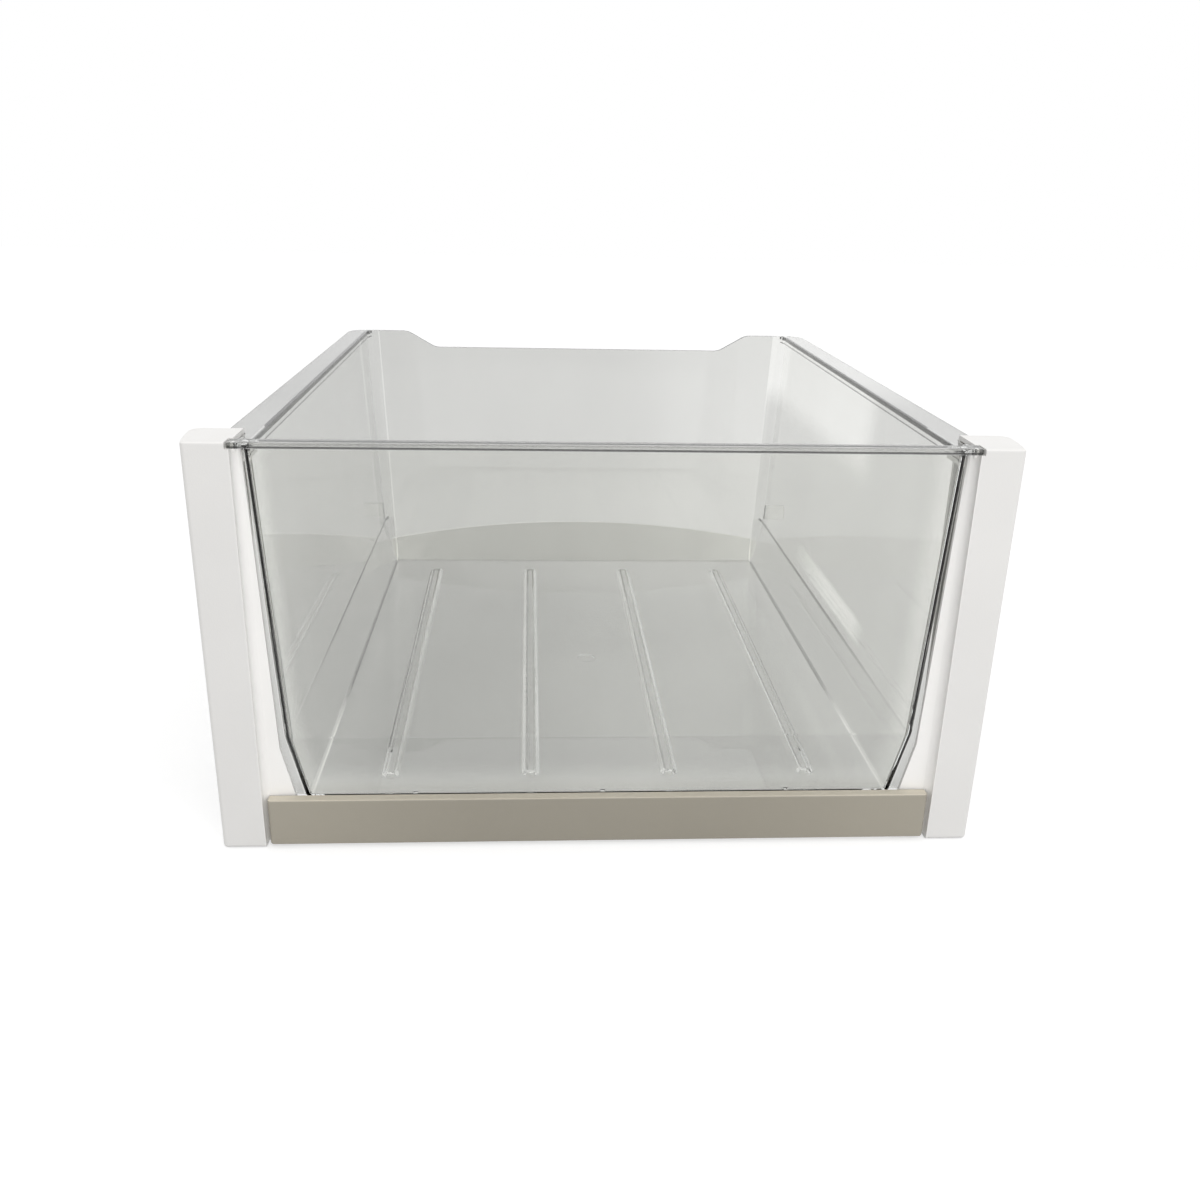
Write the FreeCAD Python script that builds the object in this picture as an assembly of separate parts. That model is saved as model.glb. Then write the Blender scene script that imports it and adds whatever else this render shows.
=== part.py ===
"""Crisper drawer of a refrigerator: a clear tub, two front posts and a pull strip that snap together.

Millimetres. +Z is up, the front faces -Y and +X is to the right.
While it is modelled, y = 0 is the plane of the posts' front faces and z = 0 the plane they stand on.
Each piece is then moved back by half the depth, so that the origin is at the middle of the base.
Shapes of the right side are modelled, and mirrored for the left side.
"""
import FreeCAD, Part
import math
import os

os.makedirs("parts", exist_ok=True)
V = FreeCAD.Vector

# Overall
FRONT_WIDTH = 400.0
POST_HEIGHT = 217.6
DEPTH = 407.8

# Fits between pieces
FIT_GAP = 0.4
SEAT_GAP = 0.3

# Posts
POST_FACE_WIDTH = 22.4
POST_DEPTH = 32.0
POST_WALL = 2.4
POST_BULGE = 2.6
POST_FRONT_RADIUS = 2.4
POST_REAR_RADIUS = 6.0
POST_TOP_RADIUS = 1.0
WEB_SETBACK = 7.2
WEB_COVE_DEPTH = 6.2
WEB_COVE_RUN = 3.0
WEB_BEND_HEIGHT = 55.0
WEB_OPEN_TOP = 0.6
WEB_OPEN_BEND = 2.6
WEB_OPEN_FOOT = 4.0
CLEAT_COUNT = 4
CLEAT_THICKNESS = 2.0
CLEAT_DEPTH = 13.6
PEG_RADIUS = 1.1
PEG_LENGTH = 1.8
PEG_FROM_FOLD = 1.0
PEG_SETBACK = 5.0
PEG_GAP = 0.3

# Pull strip between the posts
STRIP_BOTTOM = 1.9
STRIP_HEIGHT = 26.4
STRIP_DEPTH = 5.6
STRIP_WALL = 2.2
STRIP_FROM_FOLD = 2.2
STRIP_END_RADIUS = 2.0
STRIP_EDGE_RADIUS = 0.9
STRIP_RIB_COUNT = 7
STRIP_RIB_THICKNESS = 1.4
SNAP_WIDTH = 3.0
SNAP_HEIGHT = 9.0
SNAP_BARB = 0.9
SNAP_BARB_LENGTH = 2.0
SNAP_FROM_END = 7.4

# Tub: walls
WALL = 2.8
FLOOR_TOP = 26.4
BEND_HEIGHT = 61.6
BEND_RADIUS = 14.0
TOP_FROM_FOLD = 7.0
SIDE_DRAW_ABOVE_BEND = 8.0
SIDE_DRAW_BELOW_BEND = 8.0
REAR_TAPER = 4.0
PANEL_SETBACK = 5.2
PANEL_DRAW = 0.7
STRIP_SHADOW_GAP = 2.2
REAR_DRAW = 5.5
FRONT_CORNER_RADIUS = 1.4
REAR_CORNER_RADIUS = 7.0

# Tub: sloped band at the foot of the rear wall, whose upper edge is an arch
BAND_SETBACK = 4.3
BAND_SIDE_HEIGHT = 18.0
BAND_ARCH_RISE = 14.4

# Tub: dip in the top of the rear wall
DIP_DEPTH = 12.4
DIP_HALF_WIDTH = 114.3
DIP_SLOPE_RUN = 21.7
DIP_CORNER_RADIUS = 14.0

# Tub: side flanges that the drawer slides on
FLANGE_THICKNESS = 2.8
FLANGE_REACH_FRONT = 14.0
FLANGE_REACH_REAR = 11.6
FLANGE_REAR_RADIUS = 13.0
FLANGE_FRONT_RADIUS = 3.0

# Tub: front rim
RIM_THICKNESS = 2.8
RIM_LEDGE = 1.2
RIM_OVERLAP = 1.6
RIM_EDGE_RADIUS = 0.9
RIM_END_RADIUS = 3.0
RIM_TAB_RADIUS = 2.2

# Tub: raised beads on the floor, grooved underneath
BEAD_COUNT = 4
BEAD_PITCH = 76.7
BEAD_WIDTH = 9.8
BEAD_TOP_WIDTH = 5.8
BEAD_HEIGHT = 2.4
BEAD_START = 28.0
BEAD_FROM_REAR = 28.5
GROOVE_SIDE_WALL = 2.0
GROOVE_DEPTH = 2.2

# Tub: round gate mark in the floor
GATE_RADIUS = 6.0
GATE_DEPTH = 0.5
GATE_Y = 188.0

# Tub: upright flanges that the posts slide over
KEY_THICKNESS = 2.4
KEY_FROM_SIDE = 10.0
KEY_BOTTOM = 39.5
KEY_FROM_TOP = 8.8
KEY_CORNER_RADIUS = 6.0
KEY_FOOT_LAP = 2.0

# Tub: stop lugs at the rear
LUG_REACH = 17.0
LUG_THICKNESS = 3.6
LUG_HEIGHT = 11.6
LUG_ABOVE_BEND = 3.0
LUG_FROM_REAR = 9.0
LUG_CORNER_RADIUS = 1.5

# Tub: locating ribs behind the pull strip
LOCATOR_COUNT = 3
LOCATOR_PITCH = 99.0
LOCATOR_WIDTH = 2.4
LOCATOR_RISE = 0.8

# Places worked out from those sizes
FOLD_X = FRONT_WIDTH / 2 - POST_FACE_WIDTH
POST_FOOT_RADIUS = POST_FRONT_RADIUS * 0.9
SIDE_TOP = POST_HEIGHT - RIM_THICKNESS
FLOOR_BOTTOM = FLOOR_TOP - WALL
FLOOR_EDGE_RADIUS = FRONT_CORNER_RADIUS * 0.9
TOP_HALF = FOLD_X - TOP_FROM_FOLD
BEND_HALF = TOP_HALF - SIDE_DRAW_ABOVE_BEND
FLOOR_HALF = BEND_HALF - SIDE_DRAW_BELOW_BEND
FRONT_IN_TOP = PANEL_SETBACK + WALL
FRONT_IN_BEND = FRONT_IN_TOP + PANEL_DRAW
FRONT_IN_FLOOR = STRIP_DEPTH + STRIP_SHADOW_GAP + WALL
REAR_IN_TOP = DEPTH - WALL
REAR_IN_FLOOR = REAR_IN_TOP - REAR_DRAW
SIDE_SLOPE = REAR_TAPER / (REAR_IN_TOP - FRONT_IN_TOP)
RIM_HALF = FOLD_X + RIM_OVERLAP
WEB_REAR = WEB_SETBACK + POST_WALL
WEB_TOP = SIDE_TOP - SEAT_GAP
KEY_FRONT = WEB_REAR + SEAT_GAP
KEY_REAR = KEY_FRONT + KEY_THICKNESS
KEY_OUTER_X = FRONT_WIDTH / 2 - KEY_FROM_SIDE
KEY_TOP = SIDE_TOP - KEY_FROM_TOP
STRIP_TOP = STRIP_BOTTOM + STRIP_HEIGHT
STRIP_HALF = FOLD_X - STRIP_FROM_FOLD
RIM_REAR = FRONT_IN_TOP + RIM_LEDGE
STRIP_REAR = STRIP_DEPTH + SEAT_GAP
POCKET_TOP = STRIP_TOP + FIT_GAP
SNAP_X = STRIP_HALF - SNAP_FROM_END
SNAP_Z = STRIP_BOTTOM + STRIP_HEIGHT / 2


# Small helpers

def rounded_wire(points, radii):
    """Closed wire through flat points, with an arc of the given radius at each corner."""
    starts = []
    ends = []
    arcs = []
    count = len(points)
    for i in range(count):
        corner = points[i]
        radius = radii[i]
        back = (points[i - 1] - corner).normalize()
        ahead = (points[(i + 1) % count] - corner).normalize()
        half_angle = back.getAngle(ahead) / 2
        run = radius / math.tan(half_angle)
        starts.append(corner + back * run)
        ends.append(corner + ahead * run)
        middle = corner + (back + ahead).normalize() * (radius / math.sin(half_angle) - radius)
        arcs.append(Part.Arc(starts[i], middle, ends[i]).toShape() if radius > 0 else None)
    edges = []
    for i in range(count):
        if arcs[i]:
            edges.append(arcs[i])
        edges.append(Part.LineSegment(ends[i], starts[(i + 1) % count]).toShape())
    return Part.Wire(edges)


def prism(points, radii, direction):
    """Solid made by moving a rounded flat outline along a direction."""
    return Part.Face(rounded_wire(points, radii)).extrude(direction)


def box(x0, x1, y0, y1, z0, z1):
    """Box between two corners."""
    return Part.makeBox(x1 - x0, y1 - y0, z1 - z0, V(x0, y0, z0))


def mirrored(shape):
    """The same shape on the other side of the drawer."""
    return shape.mirror(V(0, 0, 0), V(1, 0, 0))


def filleted(shape, radius, test):
    """Round the edges whose bounding box passes a test."""
    return shape.makeFillet(radius, [edge for edge in shape.Edges if test(edge.BoundBox)])


def stacked_form(outlines):
    """Solid with flat faces between level outlines that have the same number of corners."""
    faces = [Part.Face(Part.makePolygon(outline + outline[:1])) for outline in (outlines[0], outlines[-1])]
    for low, high in zip(outlines, outlines[1:]):
        for i in range(len(low)):
            corners = [low[i - 1], low[i], high[i], high[i - 1]]
            faces.append(Part.Face(Part.makePolygon(corners + corners[:1])))
    return Part.Solid(Part.Shell(faces)).removeSplitter()


def flat_at(low, high, value):
    """True where both ends of a range lie on a plane."""
    return abs(low - value) < 0.01 and abs(high - value) < 0.01


def spread(first, last, count):
    """Evenly spaced places between two ends."""
    return [first + (last - first) * i / (count - 1) for i in range(count)]


# The tub's walls

def rear_inside(z):
    """Y of the rear wall's inner face at a height."""
    share = (z - FLOOR_TOP) / (SIDE_TOP - FLOOR_TOP)
    return REAR_IN_FLOOR + share * REAR_DRAW


def side_inside(z):
    """Inner half width of the tub at its front, at a height."""
    if z < BEND_HEIGHT:
        return BEND_HALF - SIDE_DRAW_BELOW_BEND * (BEND_HEIGHT - z) / (BEND_HEIGHT - FLOOR_TOP)
    return BEND_HALF + SIDE_DRAW_ABOVE_BEND * (z - BEND_HEIGHT) / (SIDE_TOP - BEND_HEIGHT)


def front_inside(z):
    """Y of the front wall's inner face at a height."""
    if z < BEND_HEIGHT:
        share = (BEND_HEIGHT - z) / (BEND_HEIGHT - FLOOR_TOP)
        return FRONT_IN_BEND + share * (FRONT_IN_FLOOR - FRONT_IN_BEND)
    return FRONT_IN_BEND - PANEL_DRAW * (z - BEND_HEIGHT) / (SIDE_TOP - BEND_HEIGHT)


def tub_section(z, grow):
    """Corners of the tub's plan outline at a height, moved outwards from its inner faces."""
    front = front_inside(z) - grow
    rear = rear_inside(z) + grow
    half = side_inside(z) + grow * math.sqrt(1 + SIDE_SLOPE * SIDE_SLOPE)
    front_half = half - SIDE_SLOPE * (front - FRONT_IN_TOP)
    rear_half = half - SIDE_SLOPE * (rear - FRONT_IN_TOP)
    return [V(-front_half, front, z), V(front_half, front, z), V(rear_half, rear, z), V(-rear_half, rear, z)]


def band_section(x, grow, bottom):
    """Upright outline of what the sloped rear band takes away, at one place across the tub."""
    share = x / (FLOOR_HALF - REAR_TAPER)
    top = FLOOR_TOP + BAND_SIDE_HEIGHT + BAND_ARCH_RISE * (1 - share * share)
    top_y = rear_inside(top) + grow
    foot_y = REAR_IN_FLOOR - BAND_SETBACK + grow
    slope = (top_y - foot_y) / (top - FLOOR_TOP)
    low_y = foot_y - slope * (FLOOR_TOP - bottom)
    beyond = DEPTH + WALL
    points = [
        V(x, low_y, bottom),
        V(x, top_y, top),
        V(x, beyond, top),
        V(x, beyond, bottom - WALL),
        V(x, low_y, bottom - WALL),
    ]
    return Part.makePolygon(points + points[:1])


def tub_form(grow, bottom, top):
    """Filled form of the tub, moved outwards from its inner faces."""
    form = stacked_form([tub_section(z, grow) for z in (bottom, BEND_HEIGHT, top)])
    form = filleted(form, BEND_RADIUS + grow, lambda b: flat_at(b.ZMin, b.ZMax, BEND_HEIGHT))
    form = filleted(form, FRONT_CORNER_RADIUS + grow, lambda b: b.ZLength > 0.1 and b.YMax < DEPTH / 2)
    form = filleted(form, REAR_CORNER_RADIUS + grow, lambda b: b.ZLength > 0.1 and b.YMin > DEPTH / 2)
    form = filleted(form, FLOOR_EDGE_RADIUS + grow, lambda b: flat_at(b.ZMin, b.ZMax, bottom))
    reach = FLOOR_HALF + 4 * WALL
    stations = [band_section(x, grow, bottom) for x in spread(-reach, reach, 5)]
    return form.cut(Part.makeLoft(stations, True, False))


def rear_dip():
    """What the dip in the rear wall's top takes away."""
    y = REAR_IN_FLOOR - WALL
    low = SIDE_TOP - DIP_DEPTH
    above = SIDE_TOP + DIP_DEPTH
    shoulder = DIP_HALF_WIDTH + DIP_SLOPE_RUN
    far = shoulder + DIP_SLOPE_RUN
    points = [
        V(-far, y, SIDE_TOP),
        V(-shoulder, y, SIDE_TOP),
        V(-DIP_HALF_WIDTH, y, low),
        V(DIP_HALF_WIDTH, y, low),
        V(shoulder, y, SIDE_TOP),
        V(far, y, SIDE_TOP),
        V(far, y, above),
        V(-far, y, above),
    ]
    radii = [0] + [DIP_CORNER_RADIUS] * 4 + [0, 0, 0]
    return prism(points, radii, V(0, DEPTH, 0))


# What stands out from the tub

def side_flange():
    """Right flange along the top of the side wall, narrow beside the post."""
    low = SIDE_TOP - FLANGE_THICKNESS
    inside = TOP_HALF - REAR_TAPER - FLANGE_REAR_RADIUS
    start = WEB_REAR + FIT_GAP
    behind_post = POST_DEPTH + 2 * FIT_GAP
    back = rear_inside(low) + WALL
    front_x = TOP_HALF + WALL + FLANGE_REACH_FRONT
    rear_x = TOP_HALF - REAR_TAPER + WALL + FLANGE_REACH_REAR
    points = [
        V(inside, start, low),
        V(FOLD_X - FIT_GAP, start, low),
        V(FOLD_X - FIT_GAP, behind_post, low),
        V(front_x, behind_post, low),
        V(rear_x, back, low),
        V(inside, back, low),
    ]
    radii = [0, 0, 0, FLANGE_FRONT_RADIUS, FLANGE_REAR_RADIUS, 0]
    return prism(points, radii, V(0, 0, FLANGE_THICKNESS))


def front_rim():
    """Bar along the top of the front wall, whose ends lie over the posts' webs."""
    bar = box(-RIM_HALF, RIM_HALF, 0, RIM_REAR, SIDE_TOP, POST_HEIGHT)
    bar = filleted(bar, RIM_END_RADIUS, lambda b: b.ZLength > RIM_THICKNESS / 2)
    bar = filleted(bar, RIM_EDGE_RADIUS, lambda b: flat_at(b.ZMin, b.ZMax, POST_HEIGHT))
    for side in (-1, 1):
        place = V(side * (TOP_HALF + WALL), RIM_REAR, SIDE_TOP)
        bar = bar.fuse(Part.makeCylinder(RIM_TAB_RADIUS, RIM_THICKNESS, place))
    return bar


def corner_key():
    """Right upright flange that the post slides over, with a narrow foot behind the web's edge."""
    inside = FLOOR_HALF
    points = [
        V(inside, KEY_FRONT, FLOOR_TOP),
        V(web_edge(FLOOR_TOP) + KEY_FOOT_LAP, KEY_FRONT, FLOOR_TOP),
        V(web_edge(KEY_BOTTOM) + KEY_FOOT_LAP, KEY_FRONT, KEY_BOTTOM),
        V(KEY_OUTER_X, KEY_FRONT, KEY_BOTTOM),
        V(KEY_OUTER_X, KEY_FRONT, KEY_TOP),
        V(inside, KEY_FRONT, KEY_TOP),
    ]
    radii = [0, 0, 0, KEY_CORNER_RADIUS, KEY_CORNER_RADIUS, 0]
    return prism(points, radii, V(0, KEY_THICKNESS, 0))


def stop_lug():
    """Right stop lug, an upright plate on the outside of the side wall near the rear."""
    inside = FLOOR_HALF - REAR_TAPER
    outside = BEND_HALF - REAR_TAPER + WALL + LUG_REACH
    y = REAR_IN_FLOOR - LUG_FROM_REAR
    bottom = BEND_HEIGHT + LUG_ABOVE_BEND
    top = bottom + LUG_HEIGHT
    points = [V(inside, y, bottom), V(outside, y, bottom), V(outside, y, top), V(inside, y, top)]
    return prism(points, [0, LUG_CORNER_RADIUS, LUG_CORNER_RADIUS, 0], V(0, LUG_THICKNESS, 0))


def strip_locators():
    """Small upright ribs on the foot of the front wall, which the pull strip lies against."""
    ribs = []
    for i in range(LOCATOR_COUNT):
        x = (i - (LOCATOR_COUNT - 1) / 2) * LOCATOR_PITCH
        left = x - LOCATOR_WIDTH / 2
        right = x + LOCATOR_WIDTH / 2
        top = STRIP_TOP + LOCATOR_RISE
        ribs.append(box(left, right, STRIP_REAR, FRONT_IN_FLOOR, FLOOR_BOTTOM, top))
    return ribs


# The tub's floor

def slot_outline(x, y0, y1, width, z):
    """Plan outline with straight sides and round ends."""
    r = width / 2
    edges = [
        Part.LineSegment(V(x - r, y0 + r, z), V(x - r, y1 - r, z)).toShape(),
        Part.Arc(V(x - r, y1 - r, z), V(x, y1, z), V(x + r, y1 - r, z)).toShape(),
        Part.LineSegment(V(x + r, y1 - r, z), V(x + r, y0 + r, z)).toShape(),
        Part.Arc(V(x + r, y0 + r, z), V(x, y0, z), V(x - r, y0 + r, z)).toShape(),
    ]
    return Part.Wire(edges)


def bead_form(x, inset, bottom, height):
    """Long bar with sloping sides and round ends, moved inwards from the bead's sides."""
    start = BEAD_START + inset
    end = REAR_IN_FLOOR - BEAD_FROM_REAR - inset
    draw = (BEAD_WIDTH - BEAD_TOP_WIDTH) / 2
    width = BEAD_WIDTH - 2 * inset
    top_width = max(BEAD_TOP_WIDTH - 2 * inset, width / 2)
    low = slot_outline(x, start, end, width, bottom)
    high = slot_outline(x, start + draw, end - draw, top_width, bottom + height)
    return Part.makeLoft([low, high], True, True)


def bead_places():
    """Places of the beads across the floor."""
    half = (BEAD_COUNT - 1) / 2 * BEAD_PITCH
    return spread(-half, half, BEAD_COUNT)


def clear_tub():
    """The whole clear moulding."""
    body = tub_form(WALL, FLOOR_BOTTOM, SIDE_TOP)
    additions = strip_locators()
    for piece in (side_flange(), corner_key(), stop_lug()):
        additions += [piece, mirrored(piece)]
    body = body.fuse(additions)
    body = body.cut([tub_form(0, FLOOR_TOP, POST_HEIGHT), rear_dip()])
    body = body.fuse([front_rim()] + [bead_form(x, 0, FLOOR_TOP, BEAD_HEIGHT) for x in bead_places()])
    hollows = [bead_form(x, GROOVE_SIDE_WALL, FLOOR_BOTTOM, GROOVE_DEPTH) for x in bead_places()]
    hollows.append(Part.makeCylinder(GATE_RADIUS, WALL, V(0, GATE_Y, FLOOR_TOP - GATE_DEPTH)))
    hollows += [peg(PEG_GAP, side) for side in (-1, 1)]
    return body.cut(hollows).removeSplitter()


# The posts

def peg(grow, side):
    """Round peg that locates a rim end, or with grow the socket for it."""
    place = V(side * (FOLD_X - PEG_FROM_FOLD), PEG_SETBACK, WEB_TOP - CLEAT_THICKNESS)
    length = CLEAT_THICKNESS + SEAT_GAP + PEG_LENGTH + grow
    return Part.makeCylinder(PEG_RADIUS + grow, length, place)


def post_form(inset, bottom, top):
    """Filled form of the right post, moved inwards, with a bulging outer side."""
    side = FRONT_WIDTH / 2 - inset
    bulge = side + POST_BULGE
    back = POST_DEPTH - inset
    front_radius = max(POST_FRONT_RADIUS - inset, 0.2)
    rear_radius = max(POST_REAR_RADIUS - inset, 0.2)
    corner = 1 - math.sqrt(0.5)
    p = [
        V(FOLD_X, inset, bottom),
        V(side - front_radius, inset, bottom),
        V(side - front_radius * corner, inset + front_radius * corner, bottom),
        V(side, inset + front_radius, bottom),
        V(bulge - POST_BULGE / 4, POST_DEPTH * 0.45, bottom),
        V(bulge, back - rear_radius, bottom),
        V(bulge - rear_radius * corner, back - rear_radius * corner, bottom),
        V(bulge - rear_radius, back, bottom),
        V(FOLD_X, back, bottom),
    ]
    edges = [
        Part.LineSegment(p[0], p[1]).toShape(),
        Part.Arc(p[1], p[2], p[3]).toShape(),
        Part.Arc(p[3], p[4], p[5]).toShape(),
        Part.Arc(p[5], p[6], p[7]).toShape(),
        Part.LineSegment(p[7], p[8]).toShape(),
        Part.LineSegment(p[8], p[0]).toShape(),
    ]
    return Part.Face(Part.Wire(edges)).extrude(V(0, 0, top - bottom))


def post_shell():
    """Hollow column, open towards the tub."""
    outer = post_form(0, 0, POST_HEIGHT)
    outer = filleted(outer, POST_FOOT_RADIUS, lambda b: flat_at(b.ZMin, b.ZMax, 0) and b.XMax > FOLD_X + 1)
    outer = filleted(outer, POST_TOP_RADIUS,
                     lambda b: flat_at(b.ZMin, b.ZMax, POST_HEIGHT) and b.XMax > FOLD_X + 1)
    return outer.cut(post_form(POST_WALL, POST_WALL, POST_HEIGHT - POST_WALL))


def web_edge(z):
    """Half width of the opening between the webs at a height, wider than the tub towards the foot."""
    foot = side_inside(FLOOR_BOTTOM) + WALL + WEB_OPEN_FOOT
    bend = side_inside(BEND_HEIGHT) + WALL + WEB_OPEN_BEND
    top = side_inside(SIDE_TOP) + WALL + WEB_OPEN_TOP
    if z < WEB_BEND_HEIGHT:
        share = max(z - FLOOR_BOTTOM, 0) / (WEB_BEND_HEIGHT - FLOOR_BOTTOM)
        return foot + share * (bend - foot)
    return bend + (top - bend) * (z - WEB_BEND_HEIGHT) / (WEB_TOP - WEB_BEND_HEIGHT)


def web_outline(z):
    """Plan outline of the web at a height: a cove behind the post's front face, then nearly level."""
    edge = web_edge(z)
    anchor = FOLD_X + POST_WALL
    corner = 1 - math.sqrt(0.5)
    p = [
        V(anchor, 0, z),
        V(FOLD_X, 0, z),
        V(FOLD_X - WEB_COVE_RUN, WEB_COVE_DEPTH, z),
        V(edge, WEB_SETBACK, z),
        V(edge, WEB_REAR, z),
        V(anchor, WEB_REAR, z),
    ]
    middle = V(FOLD_X - WEB_COVE_RUN * corner, WEB_COVE_DEPTH * (1 - corner), z)
    edges = [Part.LineSegment(p[i - 1], p[i]).toShape() for i in (1, 3, 4, 5, 0)]
    edges.insert(1, Part.Arc(p[1], middle, p[2]).toShape())
    return Part.Wire(edges)


def front_web():
    """Web that widens downwards as the tub narrows, with the pocket and window for the strip's end."""
    web = Part.makeLoft([web_outline(z) for z in (STRIP_BOTTOM, FLOOR_BOTTOM, WEB_BEND_HEIGHT, WEB_TOP)],
                        True, True)
    pocket = box(0, STRIP_HALF + FIT_GAP, -1, STRIP_REAR, 0, POCKET_TOP)
    window = box(SNAP_X - SNAP_WIDTH / 2 - FIT_GAP, SNAP_X + SNAP_WIDTH / 2 + FIT_GAP,
                 0, POST_DEPTH, SNAP_Z - SNAP_HEIGHT / 2 - FIT_GAP, SNAP_Z + SNAP_HEIGHT / 2 + FIT_GAP)
    return web.cut([pocket, window])


def rim_seat():
    """Closed step under the rim's end, and what it takes out of the post's top."""
    step_x = RIM_HALF + FIT_GAP
    step_y = RIM_REAR + FIT_GAP
    block = box(FOLD_X, step_x + POST_WALL, POST_WALL / 2, step_y + POST_WALL,
                WEB_TOP - POST_WALL, POST_HEIGHT - POST_WALL / 2)
    notch = box(0, step_x, -1, step_y, WEB_TOP, POST_HEIGHT + 1)
    return block, notch


def cleats():
    """Level plates inside the post that hold the tub's upright flange."""
    inner = FOLD_X + POST_WALL / 3
    slot_front = KEY_FRONT - SEAT_GAP
    slot_rear = KEY_REAR + SEAT_GAP
    margin = 2 * KEY_CORNER_RADIUS
    form = post_form(POST_WALL / 2, 0, POST_HEIGHT)
    plates = []
    for z in spread(KEY_BOTTOM + margin, KEY_TOP - margin, CLEAT_COUNT):
        plate = box(inner, FRONT_WIDTH, 0, CLEAT_DEPTH + POST_WALL, z, z + CLEAT_THICKNESS)
        slot = box(0, KEY_OUTER_X + FIT_GAP, slot_front, slot_rear, 0, POST_HEIGHT)
        plates.append(plate.cut(slot).common(form))
    for z in (KEY_BOTTOM - SEAT_GAP - CLEAT_THICKNESS, KEY_TOP + SEAT_GAP):
        plate = box(inner, FRONT_WIDTH, 0, CLEAT_DEPTH + POST_WALL, z, z + CLEAT_THICKNESS)
        plates.append(plate.common(form))
    return plates


def head_plate():
    """Level plate over the tub's upright flange, which closes the post's head towards the tub's wall."""
    bottom = KEY_TOP + SEAT_GAP
    return box(TOP_HALF + WALL + FIT_GAP, FOLD_X + POST_WALL, WEB_REAR - POST_WALL / 2, POST_DEPTH - POST_WALL / 2,
               bottom, bottom + CLEAT_THICKNESS)


def right_post():
    """The whole right post."""
    block, notch = rim_seat()
    post = post_shell().fuse([front_web(), block, head_plate()] + cleats())
    return post.cut(notch).fuse(peg(0, 1)).removeSplitter()


# The pull strip

def snap_prong():
    """Right prong with a barb, which passes through the window of the post's plate."""
    left = SNAP_X - SNAP_WIDTH / 2
    right = SNAP_X + SNAP_WIDTH / 2
    catch = WEB_REAR + SEAT_GAP
    tip = catch + SNAP_BARB_LENGTH
    bottom = SNAP_Z - SNAP_HEIGHT / 2
    points = [
        V(left, STRIP_WALL / 2, bottom),
        V(right, STRIP_WALL / 2, bottom),
        V(right, catch, bottom),
        V(right + SNAP_BARB, catch, bottom),
        V(right - SNAP_BARB, tip, bottom),
        V(left, tip, bottom),
    ]
    return prism(points, [0] * 6, V(0, 0, SNAP_HEIGHT))


def pull_strip():
    """Thin tray that stands on edge between the posts, ribbed behind."""
    strip = box(-STRIP_HALF, STRIP_HALF, 0, STRIP_DEPTH, STRIP_BOTTOM, STRIP_TOP)
    strip = filleted(strip, STRIP_END_RADIUS, lambda b: flat_at(b.YMin, b.YMax, 0) and b.ZLength > 1)
    strip = filleted(strip, STRIP_EDGE_RADIUS, lambda b: b.ZLength < 0.01 and b.YMin < STRIP_DEPTH / 2)
    inner = STRIP_HALF - STRIP_WALL
    low = STRIP_BOTTOM + STRIP_WALL
    high = STRIP_TOP - STRIP_WALL
    hollow = box(-inner, inner, STRIP_WALL, POST_DEPTH, low, high)
    half = STRIP_RIB_THICKNESS / 2
    ribs = []
    for x in spread(-inner, inner, STRIP_RIB_COUNT + 2)[1:-1]:
        ribs.append(box(x - half, x + half, STRIP_WALL / 2, STRIP_DEPTH, low - half, high + half))
    prong = snap_prong()
    return strip.cut(hollow).fuse(ribs + [prong, mirrored(prong)]).removeSplitter()


def export(node, shape):
    """Put the origin at the middle of the base and write one piece."""
    shape.translated(V(0, -DEPTH / 2, 0)).exportStep("parts/" + node + ".step")
    print(node, "valid", shape.isValid(), "solids", len(shape.Solids), "volume", round(shape.Volume))


post = right_post()
export("clear_tub", clear_tub())
export("right_post", post)
export("left_post", mirrored(post))
export("pull_strip", pull_strip())
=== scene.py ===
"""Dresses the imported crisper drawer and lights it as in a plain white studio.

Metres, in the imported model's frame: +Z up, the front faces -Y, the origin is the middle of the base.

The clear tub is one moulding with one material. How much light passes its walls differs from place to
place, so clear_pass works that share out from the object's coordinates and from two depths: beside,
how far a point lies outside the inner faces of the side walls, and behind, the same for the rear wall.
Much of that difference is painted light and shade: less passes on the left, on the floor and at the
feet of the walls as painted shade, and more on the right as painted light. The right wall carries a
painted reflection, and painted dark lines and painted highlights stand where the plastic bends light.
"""
import math

import bpy
from mathutils import Matrix, Vector


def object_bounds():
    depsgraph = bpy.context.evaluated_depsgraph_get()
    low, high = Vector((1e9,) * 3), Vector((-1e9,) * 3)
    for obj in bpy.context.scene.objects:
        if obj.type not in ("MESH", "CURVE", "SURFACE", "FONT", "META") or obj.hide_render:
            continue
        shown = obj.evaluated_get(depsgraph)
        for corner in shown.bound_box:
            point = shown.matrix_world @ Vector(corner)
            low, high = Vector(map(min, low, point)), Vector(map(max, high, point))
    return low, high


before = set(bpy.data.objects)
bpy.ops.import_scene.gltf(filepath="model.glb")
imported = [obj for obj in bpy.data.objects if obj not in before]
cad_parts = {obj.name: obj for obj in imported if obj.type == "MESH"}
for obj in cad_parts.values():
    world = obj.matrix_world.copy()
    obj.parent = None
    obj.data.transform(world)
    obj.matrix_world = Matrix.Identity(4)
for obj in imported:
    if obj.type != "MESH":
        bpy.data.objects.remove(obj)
cad_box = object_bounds()

# Places taken from the frame
FRONT_Y = cad_box[0].y
REAR_Y = cad_box[1].y
TOP_Z = cad_box[1].z

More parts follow.
